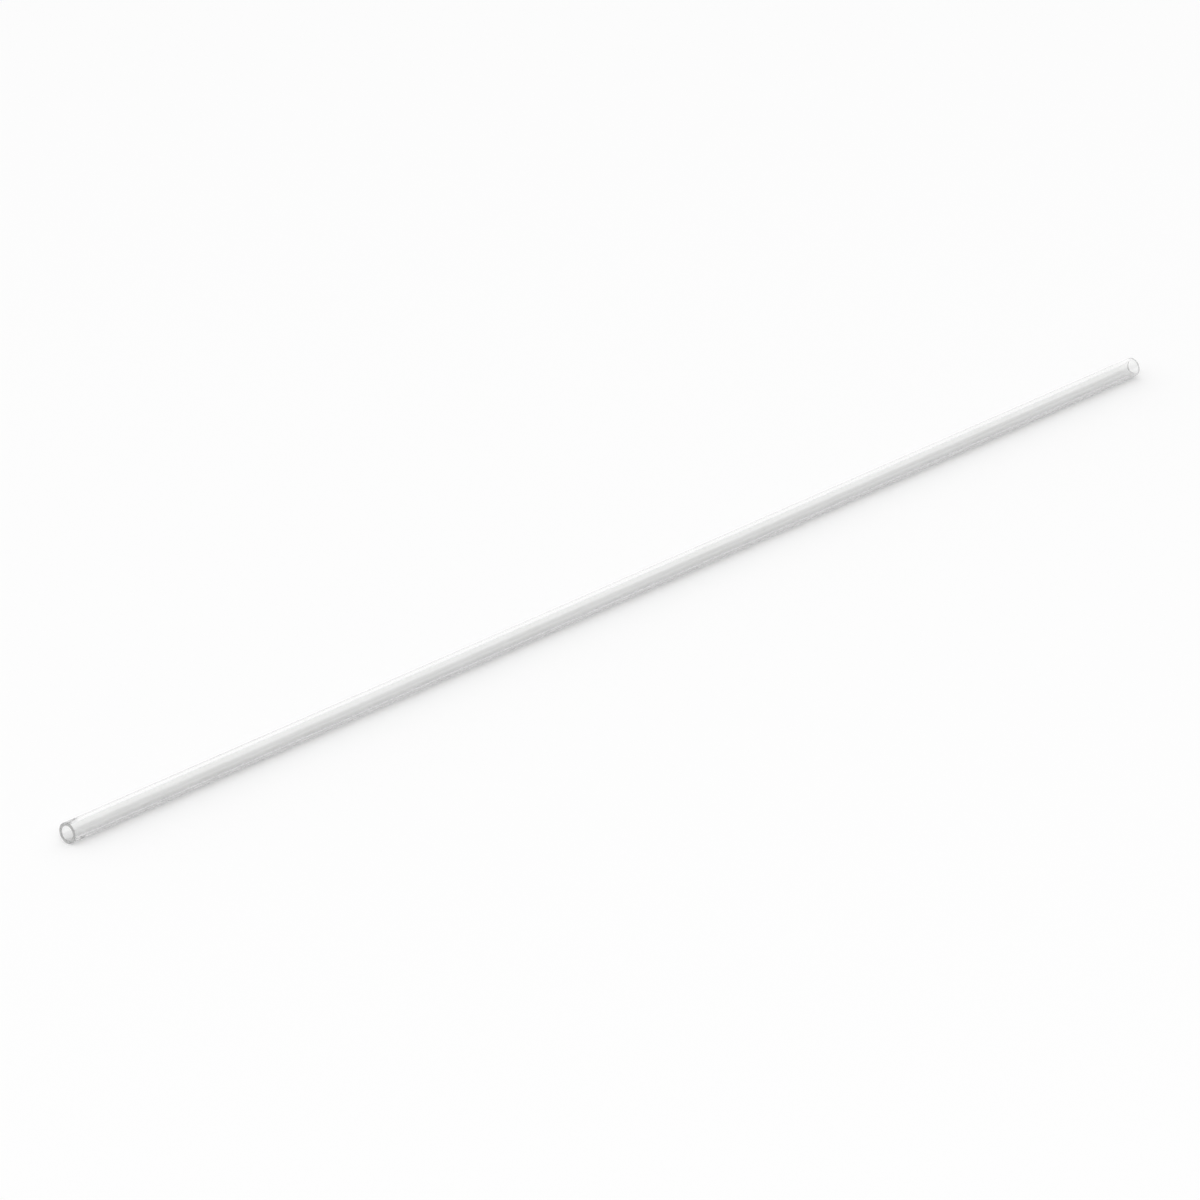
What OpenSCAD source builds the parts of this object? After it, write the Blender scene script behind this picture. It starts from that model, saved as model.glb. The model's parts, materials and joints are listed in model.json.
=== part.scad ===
// Glass capillary tube, open at both ends, lying on its side.
//
// One piece of drawn glass: a thin, even wall around a fine straight bore, cut to
// length and fire polished, so that the four circular edges at its ends are slightly
// rounded. It lies along X, half its length to each side of the origin, and its lowest
// line touches the plane Z = 0.

/* [Tube] */
// Length over both ends
tube_length = 100; // [40:1:150]
// Outer diameter
outer_diameter = 1.3; // [0.8:0.05:2]
// Thickness of the glass wall
wall = 0.2; // [0.1:0.01:0.3]

/* [Ends] */
// Radius that fire polishing leaves on each end's edges, up to the wall's limit
polish_radius = 0.05; // [0.02:0.01:0.1]

/* [Hidden] */
$fn = 96;
outer_radius = outer_diameter / 2;
bore_radius = outer_radius - wall;
// Share of the wall that stays flat, at the least, across each cut end
flat_share = 0.1;
edge_radius = min(polish_radius, (1 - flat_share) / 2 * wall);

// Half section of the wall: the radius runs along X and the tube's length along Y.
module wall_section() {
    // Straight inner and outer faces, between the rounded edges
    translate([bore_radius, edge_radius])
        square([wall, tube_length - 2 * edge_radius]);
    // Flat bands that cross both cut ends
    translate([bore_radius + edge_radius, 0])
        square([wall - 2 * edge_radius, tube_length]);
    // Polished edges of the bore and of the outside, at both ends
    for (radius = [bore_radius + edge_radius, outer_radius - edge_radius])
        for (along = [edge_radius, tube_length - edge_radius])
            translate([radius, along])
                circle(r = edge_radius);
}

// Turns a body that stands on the origin along Z so that it lies along X on Z = 0.
module lay_down() {
    translate([-tube_length / 2, 0, outer_radius])
        rotate([0, 90, 0])
            children();
}

module tube() {
    color([0.93, 0.95, 0.95, 0.35])
        lay_down()
            rotate_extrude()
                wall_section();
}

tube();
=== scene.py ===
# Looks for a glass capillary tube that lies on a pale table.
import json
import math

import bmesh
import bpy
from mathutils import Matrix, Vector


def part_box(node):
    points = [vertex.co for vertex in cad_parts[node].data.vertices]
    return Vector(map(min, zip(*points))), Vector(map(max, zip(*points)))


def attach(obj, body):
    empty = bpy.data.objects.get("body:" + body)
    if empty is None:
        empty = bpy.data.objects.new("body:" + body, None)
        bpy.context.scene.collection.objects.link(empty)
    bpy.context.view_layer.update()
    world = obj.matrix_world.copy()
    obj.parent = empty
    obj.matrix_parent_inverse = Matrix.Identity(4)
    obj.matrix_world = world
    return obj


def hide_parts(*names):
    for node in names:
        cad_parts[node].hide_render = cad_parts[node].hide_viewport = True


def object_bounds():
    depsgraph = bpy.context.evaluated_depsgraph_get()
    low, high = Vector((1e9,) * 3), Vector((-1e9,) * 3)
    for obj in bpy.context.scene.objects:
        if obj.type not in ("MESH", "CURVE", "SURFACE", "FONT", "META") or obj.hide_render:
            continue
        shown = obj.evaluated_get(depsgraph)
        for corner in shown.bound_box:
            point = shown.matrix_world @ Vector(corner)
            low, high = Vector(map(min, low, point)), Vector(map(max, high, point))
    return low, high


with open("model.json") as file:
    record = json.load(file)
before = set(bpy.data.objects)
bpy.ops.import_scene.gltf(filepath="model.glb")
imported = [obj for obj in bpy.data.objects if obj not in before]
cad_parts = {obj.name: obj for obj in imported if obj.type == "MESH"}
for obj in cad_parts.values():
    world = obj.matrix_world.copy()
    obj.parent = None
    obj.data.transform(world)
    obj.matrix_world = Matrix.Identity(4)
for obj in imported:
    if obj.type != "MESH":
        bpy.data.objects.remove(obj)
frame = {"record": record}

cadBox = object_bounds()  # the CAD box, before any look is added
millimetre = 0.001
perMetre = 1 / millimetre  # millimetres in a metre
wallFinish, endFinish = 0, 1  # the tube's material slots
mixFactor, mixFrom, mixTo, mixResult = 0, 6, 7, 2  # the sockets of a Mix node set to colour


def addNode(tree, kind, where, **settings):
    node = tree.nodes.new(kind)
    node.location = where
    for name, value in settings.items():
        setattr(node, name, value)
    return node


def feedInput(tree, socket, term):
    # another node's output is linked, a plain value is set
    if isinstance(term, bpy.types.NodeSocket):
        tree.links.new(term, socket)
    else:
        socket.default_value = term


def fillInputs(tree, node, terms):
    for label, term in terms.items():
        feedInput(tree, node.inputs[label], term)


def addMath(tree, operation, where, *terms):
    node = addNode(tree, "ShaderNodeMath", where, operation=operation)
    fillInputs(tree, node, dict(enumerate(terms)))
    return node.outputs[0]


def newGroup(name, inputs, outputs):
    # an empty node group; inputs gives each label its default, outputs lists labels
    group = bpy.data.node_groups.new(name, "ShaderNodeTree")
    for label, value in inputs.items():
        socket = group.interface.new_socket(name=label, in_out="INPUT", socket_type="NodeSocketFloat")
        socket.default_value = value
    for label in outputs:
        group.interface.new_socket(name=label, in_out="OUTPUT", socket_type="NodeSocketFloat")
    inlet = addNode(group, "NodeGroupInput", (-1100, 0))
    outlet = addNode(group, "NodeGroupOutput", (400, 0))
    return group, inlet, outlet


def readTube():
    # the tube's sizes in metres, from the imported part
    low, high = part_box("tube")
    bore = next(mount for mount in frame["record"]["mounts"] if mount["name"] == "bore")
    length = high.x - low.x
    straight = bore["dims"]["length_mm"] * millimetre  # the bore between its two polished edges
    return {
        "length": length,
        "middle": (low.x + high.x) / 2,
        "outerRadius": (high.z - low.z) / 2,
        "boreRadius": bore["dims"]["r_mm"] * millimetre,
        "axisHeight": bore["pos_m"][2],
        "lipRadius": (length - straight) / 2,
    }


tube = readTube()

# each wave is how many go round the tube, its start in radians, and its twist in radians per metre
tubeLook = {
    "segments": 192,           # facets round the tube
    "rings": 72,               # steps along each straight face
    "lipSteps": 6,             # steps round each polished edge
    "bandSteps": 3,            # steps across each flat end band
    "cutSlant": 0.02,          # mm, how far a cut end leans
    "cutTurn": 0.9,            # radians, the side of the cut that stands out
    "cutRipple": 0.006,        # mm, unevenness of a cut end
    "cutWaves": [(3, 0.4, 20), (5, 2.1, 35), (8, 4.0, -50)],
    "cutReach": 0.8,           # mm, how far the cut's lean fades into the tube
    "outOfRound": 0.004,       # share of the radius, always inward
    "roundWaves": [(2, 0.3, 40), (3, 1.9, -65), (5, 4.2, 90), (7, 0.8, -130)],
    "ridgeDepth": 0.001,       # share of the radius, of the fine ridges that drawing leaves
    "ridgeWaves": [(11, 0.7, 9), (17, 2.9, -14), (26, 5.1, 22)],
    "ridgeTurn": 1.3,          # radians, between the bore's ridges and the outer ones
    "wallDrift": 0.006,        # share of the bore radius that its centre wanders
    "driftAcross": [(0, 0.6, 55)],
    "driftUpward": [(0, 3.8, 38)],
}


def slowWave(waves, turn, along):
    # between -1 and 1, and different round and along the tube
    total = sum(math.sin(count * turn + start + twist * along) for count, start, twist in waves)
    return total / len(waves)


def makeProfile():
    # one closed loop round the wall's half section, as (along, radius, finish)
    half = tube["length"] / 2
    lip = tube["lipRadius"]
    outer, bore = tube["outerRadius"], tube["boreRadius"]
    rings, lipSteps, bandSteps = tubeLook["rings"], tubeLook["lipSteps"], tubeLook["bandSteps"]
    rightEnd = []  # from the outer face over both polished edges into the bore
    for step in range(1, lipSteps + 1):
        turn = math.radians(90 * step / lipSteps)
        rightEnd.append((half - lip + lip * math.sin(turn), outer - lip + lip * math.cos(turn), endFinish))
    for step in range(1, bandSteps):
        share = step / bandSteps
        rightEnd.append((half, (outer - lip) * (1 - share) + (bore + lip) * share, endFinish))
    for step in range(lipSteps):
        turn = math.radians(90 * step / lipSteps)
        rightEnd.append((half - lip + lip * math.cos(turn), bore + lip - lip * math.sin(turn), endFinish))
    reach = half - lip
    outerRun = [(-reach + 2 * reach * step / rings, outer, wallFinish) for step in range(rings + 1)]
    boreRun = [(-along, bore, wallFinish) for along, _, _ in outerRun]
    leftEnd = [(-along, radius, endFinish) for along, radius, _ in reversed(rightEnd)]
    return outerRun + rightEnd + boreRun + leftEnd


def placePoint(along, radius, turn):
    # moves a point of the straight, round tube to where drawing and cutting left it
    outer, bore = tube["outerRadius"], tube["boreRadius"]
    end = math.copysign(1, along)
    toCut = (tube["length"] / 2 - abs(along)) / millimetre
    fade = max(0.0, 1 - toCut / tubeLook["cutReach"]) ** 2
    lean = tubeLook["cutSlant"] * (1 - math.cos(turn - tubeLook["cutTurn"] * end)) / 2
    ripple = tubeLook["cutRipple"] * abs(slowWave(tubeLook["cutWaves"], turn, along))
    inward = (lean + ripple) * fade * millimetre
    inner = min(1.0, max(0.0, (outer - radius) / (outer - bore)))  # 0 outside, 1 in the bore
    shift = inner * tubeLook["wallDrift"] * bore
    swell = slowWave(tubeLook["roundWaves"], turn, along)
    ridge = slowWave(tubeLook["ridgeWaves"], turn + inner * tubeLook["ridgeTurn"], along)
    radius *= 1 + (tubeLook["outOfRound"] * (swell - 1) + tubeLook["ridgeDepth"] * (ridge - 1)) / 2
    across = radius * math.cos(turn) + shift * slowWave(tubeLook["driftAcross"], turn, along)
    upward = radius * math.sin(turn) + shift * slowWave(tubeLook["driftUpward"], turn, along)
    return Vector((tube["middle"] + along - end * inward, across, tube["axisHeight"] + upward))


def buildTube():
    # turns the profile into a closed mesh, ring by ring
    profile = makeProfile()
    segments = tubeLook["segments"]
    turns = [2 * math.pi * n / segments for n in range(segments)]
    shape = bmesh.new()
    loops = []
    for along, radius, _ in profile:
        loops.append([shape.verts.new(placePoint(along, radius, turn)) for turn in turns])
    for index, loop in enumerate(loops):
        after = (index + 1) % len(loops)
        touchesEnd = endFinish in (profile[index][2], profile[after][2])
        for n in range(segments):
            m = (n + 1) % segments
            face = shape.faces.new((loop[n], loop[m], loops[after][m], loops[after][n]))
            face.smooth = True
            face.material_index = endFinish if touchesEnd else wallFinish
    bmesh.ops.recalc_face_normals(shape, faces=shape.faces)
    mesh = bpy.data.meshes.new("capillaryTube")
    shape.to_mesh(mesh)
    shape.free()
    piece = bpy.data.objects.new("capillary_tube", mesh)
    bpy.context.scene.collection.objects.link(piece)
    return piece


def makeDrawLines():
    # faint streaks that run the length of drawn glass
    group, inlet, outlet = newGroup(
        "drawLines",
        {"Line Width mm": 0.25, "Line Length mm": 30.0, "Line From": 0.5, "Line Full": 0.75},
        ["Streak"],
    )
    where = addNode(group, "ShaderNodeTexCoord", (-1100, -250))
    split = addNode(group, "ShaderNodeSeparateXYZ", (-900, -250))
    group.links.new(where.outputs["Object"], split.inputs[0])
    along = addMath(group, "DIVIDE", (-900, 150), perMetre, inlet.outputs["Line Length mm"])
    across = addMath(group, "DIVIDE", (-900, -50), perMetre, inlet.outputs["Line Width mm"])
    stretched = addNode(group, "ShaderNodeCombineXYZ", (-400, 0))
    for slot, scale in enumerate((along, across, across)):
        part = addMath(group, "MULTIPLY", (-650, 150 - 150 * slot), split.outputs[slot], scale)
        group.links.new(part, stretched.inputs[slot])
    lines = addNode(group, "ShaderNodeTexNoise", (-200, 0))
    fillInputs(group, lines, {"Vector": stretched.outputs[0], "Scale": 1.0, "Detail": 2.0})
    streak = addNode(group, "ShaderNodeMapRange", (50, 0))
    fillInputs(group, streak, {
        "Value": lines.outputs[0],
        "From Min": inlet.outputs["Line From"],
        "From Max": inlet.outputs["Line Full"],
    })
    group.links.new(streak.outputs[0], outlet.inputs["Streak"])
    return group


def makeHandlingFilm():
    # faint dust and finger film, in soft patches with a few specks
    group, inlet, outlet = newGroup(
        "handlingFilm",
        {"Patch mm": 4.0, "Patch Strength": 0.25, "Patch From": 0.5, "Patch Full": 0.8,
         "Speck mm": 0.35, "Speck From": 0.74, "Speck Full": 0.78},
        ["Cover"],
    )
    where = addNode(group, "ShaderNodeTexCoord", (-1100, -300))
    parts = {}
    for label, detail, height in (("Patch", 3.0, 200), ("Speck", 1.0, -200)):
        scale = addMath(group, "DIVIDE", (-850, height), perMetre, inlet.outputs[label + " mm"])
        spots = addNode(group, "ShaderNodeTexNoise", (-650, height))
        fillInputs(group, spots, {"Vector": where.outputs["Object"], "Scale": scale, "Detail": detail})
        part = addNode(group, "ShaderNodeMapRange", (-400, height))
        fillInputs(group, part, {
            "Value": spots.outputs[0],
            "From Min": inlet.outputs[label + " From"],
            "From Max": inlet.outputs[label + " Full"],
        })
        parts[label] = part.outputs[0]
    patches = addMath(group, "MULTIPLY", (-150, 200), parts["Patch"], inlet.outputs["Patch Strength"])
    cover = addMath(group, "MAXIMUM", (100, 0), patches, parts["Speck"])
    group.links.new(cover, outlet.inputs["Cover"])
    return group


drawLines = makeDrawLines()
handlingFilm = makeHandlingFilm()

wallGlassLook = {
    "tint": (0.945, 0.946, 0.945, 1.0),
    "filmTint": (0.88, 0.88, 0.865, 1.0),
    "ior": 1.473,
    "roughness": 0.0,
    "filmRoughness": 0.06,     # what full film adds
    "streakCover": 0.3,        # how much film a streak holds
    "streaks": {"Line Width mm": 0.25, "Line Length mm": 30.0},
    "film": {"Patch mm": 4.0, "Speck mm": 0.35},
}

endGlassPaintedShadeLook = {
    # painted shade: the cut end is the wall's clear glass, tinted far darker here (film tint too) so the
    # end shows as a grey ring
    "tint": (0.54, 0.543, 0.54, 1.0),
    "filmTint": (0.46, 0.45, 0.43, 1.0),
    "ior": 1.473,
    "roughness": 0.05,
    "filmRoughness": 0.2,
    "streakCover": 0.15,
    "streaks": {"Line Width mm": 0.3, "Line Length mm": 30.0},
    "film": {"Patch mm": 4.0, "Speck mm": 0.35},
}


def makeGlass(name, look):
    # clear glass whose tint and roughness follow its streaks and film
    material = bpy.data.materials.new(name)
    material.use_nodes = True
    tree = material.node_tree
    streaks = addNode(tree, "ShaderNodeGroup", (-900, -200), node_tree=drawLines)
    fillInputs(tree, streaks, look["streaks"])
    film = addNode(tree, "ShaderNodeGroup", (-900, 200), node_tree=handlingFilm)
    fillInputs(tree, film, look["film"])
    cover = addMath(tree, "MULTIPLY_ADD", (-650, 50),
                    streaks.outputs["Streak"], look["streakCover"], film.outputs["Cover"])
    tint = addNode(tree, "ShaderNodeMix", (-400, 250), data_type="RGBA")
    fillInputs(tree, tint, {mixFactor: cover, mixFrom: look["tint"], mixTo: look["filmTint"]})
    rough = addMath(tree, "MULTIPLY_ADD", (-400, 0), cover, look["filmRoughness"], look["roughness"])
    fillInputs(tree, tree.nodes["Principled BSDF"], {
        "Base Color": tint.outputs[mixResult],
        "Roughness": rough,
        "Metallic": 0.0,
        "IOR": look["ior"],
        "Transmission Weight": 1.0,
    })
    return material


tableLook = {
    "halfWidth": 3.0,          # m
    "colour": (0.72, 0.72, 0.72, 1.0),
    "roughness": 0.9,
    "lift": 0.248,             # light of its own, which keeps the shadow pale
}


def makeTable():
    far = tableLook["halfWidth"]
    corners = [(-far, -far, 0), (far, -far, 0), (far, far, 0), (-far, far, 0)]
    mesh = bpy.data.meshes.new("table")
    mesh.from_pydata(corners, [], [(0, 1, 2, 3)])
    table = bpy.data.objects.new("table", mesh)
    bpy.context.scene.collection.objects.link(table)
    material = bpy.data.materials.new("pale table")
    material.use_nodes = True
    tree = material.node_tree
    shader = tree.nodes["Principled BSDF"]
    fillInputs(tree, shader, {
        "Base Color": tableLook["colour"],
        "Roughness": tableLook["roughness"],
        "Specular IOR Level": 0.0,
    })
    # the lift shows to the eye, in gloss and through glass, and lights nothing else
    path = addNode(tree, "ShaderNodeLightPath", (-700, 300))
    seen = path.outputs["Is Camera Ray"]
    for step, label in enumerate(("Is Glossy Ray", "Is Transmission Ray")):
        seen = addMath(tree, "MAXIMUM", (-500 + 200 * step, 300), seen, path.outputs[label])
    lift = addNode(tree, "ShaderNodeEmission", (100, 300))
    fillInputs(tree, lift, {"Strength": addMath(tree, "MULTIPLY", (-100, 300), seen, tableLook["lift"])})
    both = addNode(tree, "ShaderNodeAddShader", (300, 100))
    tree.links.new(shader.outputs[0], both.inputs[0])
    tree.links.new(lift.outputs[0], both.inputs[1])
    tree.links.new(both.outputs[0], tree.nodes["Material Output"].inputs["Surface"])
    mesh.materials.append(material)


roomLook = {
    "colour": (1.0, 1.0, 1.0, 1.0),
    "bright": 1.07,            # the lit side of the room, high up over +Y
    "dim": 0.15,               # the side away from it, low down over -Y
    "turn": 25.0,              # degrees from +Y towards -X, the middle of the lit side
    "rise": 1.0,               # its height over its distance, so 1 is halfway up
    "dimAt": -0.6,             # where the light starts to grow towards the lit side
    "brightAt": 0.7,           # and where it is full
    "horizon": 0.98,           # a pale band all round, level with the far edge of the table
    "horizonFull": 0.075,      # sine of the height up to which the band is full
    "horizonGone": 0.12,       # and at which it ends
    "bounces": 512,            # a cut end's light comes down the wall by hundreds of reflections
}


def makeRoom():
    world = bpy.data.worlds.new("studio")
    bpy.context.scene.world = world
    world.use_nodes = True
    tree = world.node_tree
    turn = math.radians(roomLook["turn"])
    litSide = (-math.sin(turn), math.cos(turn), roomLook["rise"])
    where = addNode(tree, "ShaderNodeTexCoord", (-1100, 0))
    facing = addNode(tree, "ShaderNodeVectorMath", (-900, 0), operation="DOT_PRODUCT")
    fillInputs(tree, facing, {0: where.outputs["Generated"], 1: litSide})
    room = addNode(tree, "ShaderNodeMapRange", (-700, 0), interpolation_type="SMOOTHSTEP")
    fillInputs(tree, room, {
        "Value": facing.outputs["Value"],
        "From Min": roomLook["dimAt"],
        "From Max": roomLook["brightAt"],
        "To Min": roomLook["dim"],
        "To Max": roomLook["bright"],
    })
    height = addNode(tree, "ShaderNodeSeparateXYZ", (-900, -300))
    tree.links.new(where.outputs["Generated"], height.inputs[0])
    horizon = addNode(tree, "ShaderNodeMapRange", (-700, -300), interpolation_type="SMOOTHSTEP")
    fillInputs(tree, horizon, {
        "Value": height.outputs["Z"],
        "From Min": roomLook["horizonFull"],
        "From Max": roomLook["horizonGone"],
        "To Min": roomLook["horizon"],
        "To Max": 0.0,
    })
    strength = addMath(tree, "MAXIMUM", (-400, 0), room.outputs[0], horizon.outputs[0])
    fillInputs(tree, tree.nodes["Background"], {"Color": roomLook["colour"], "Strength": strength})
    for kind in ("max_bounces", "glossy_bounces", "transmission_bounces"):
        setattr(bpy.context.scene.cycles, kind, roomLook["bounces"])


lampLook = {  # m and W; each lamp faces the table's middle
    "front": {"size": 1.15, "power": 5.5, "from": (-0.45, -1.4, 1.4)},
    "side": {"size": 0.6, "power": 0.6, "from": (-0.9, -0.1, 0.6)},
}


def makeLamps():
    for name, look in lampLook.items():
        data = bpy.data.lights.new(name, "AREA")
        data.shape = "SQUARE"
        data.size = look["size"]
        data.energy = look["power"]
        lamp = bpy.data.objects.new(name, data)
        lamp.location = look["from"]
        lamp.rotation_euler = (-lamp.location).to_track_quat("-Z", "Y").to_euler()
        bpy.context.scene.collection.objects.link(lamp)


cameraLook = {
    "azimuth": -48.6,          # degrees, 0 looks along +Y
    "elevation": 22.7,         # degrees, looking down
    "distance": 0.515,         # m
    "aimAlong": -3.3,          # mm, so that both ends have the same margin
    "lens": 250.0,             # mm
    "sensor": 36.0,            # mm
    "clipStart": 0.01,         # m
}


def makeCamera():
    turn, rise = math.radians(cameraLook["azimuth"]), math.radians(cameraLook["elevation"])
    back = Vector((math.sin(turn) * math.cos(rise), -math.cos(turn) * math.cos(rise), math.sin(rise)))
    data = bpy.data.cameras.new("camera")
    data.lens = cameraLook["lens"]
    data.sensor_width = cameraLook["sensor"]
    data.clip_start = cameraLook["clipStart"]
    low, high = cadBox
    aim = (low + high) / 2 + Vector((cameraLook["aimAlong"] * millimetre, 0, 0))
    camera = bpy.data.objects.new("camera", data)
    camera.location = aim + back * cameraLook["distance"]
    camera.rotation_euler = (-back).to_track_quat("-Z", "Y").to_euler()
    bpy.context.scene.collection.objects.link(camera)
    bpy.context.scene.camera = camera
    bpy.context.scene.view_settings.view_transform = "Standard"


makeCamera()
print("camera placed")
makeRoom()
makeLamps()
makeTable()
print("table and light set")
piece = buildTube()
print("tube built:", len(piece.data.polygons), "faces")
piece.data.materials.append(makeGlass("clear drawn glass", wallGlassLook))
# the end slot gets the same glass darkened with painted shade, which makes the grey ring at each end
piece.data.materials.append(makeGlass("cut end glass with painted shade", endGlassPaintedShadeLook))
print("glass made:", len(piece.data.materials), "finishes")
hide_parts("tube")
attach(piece, "root")
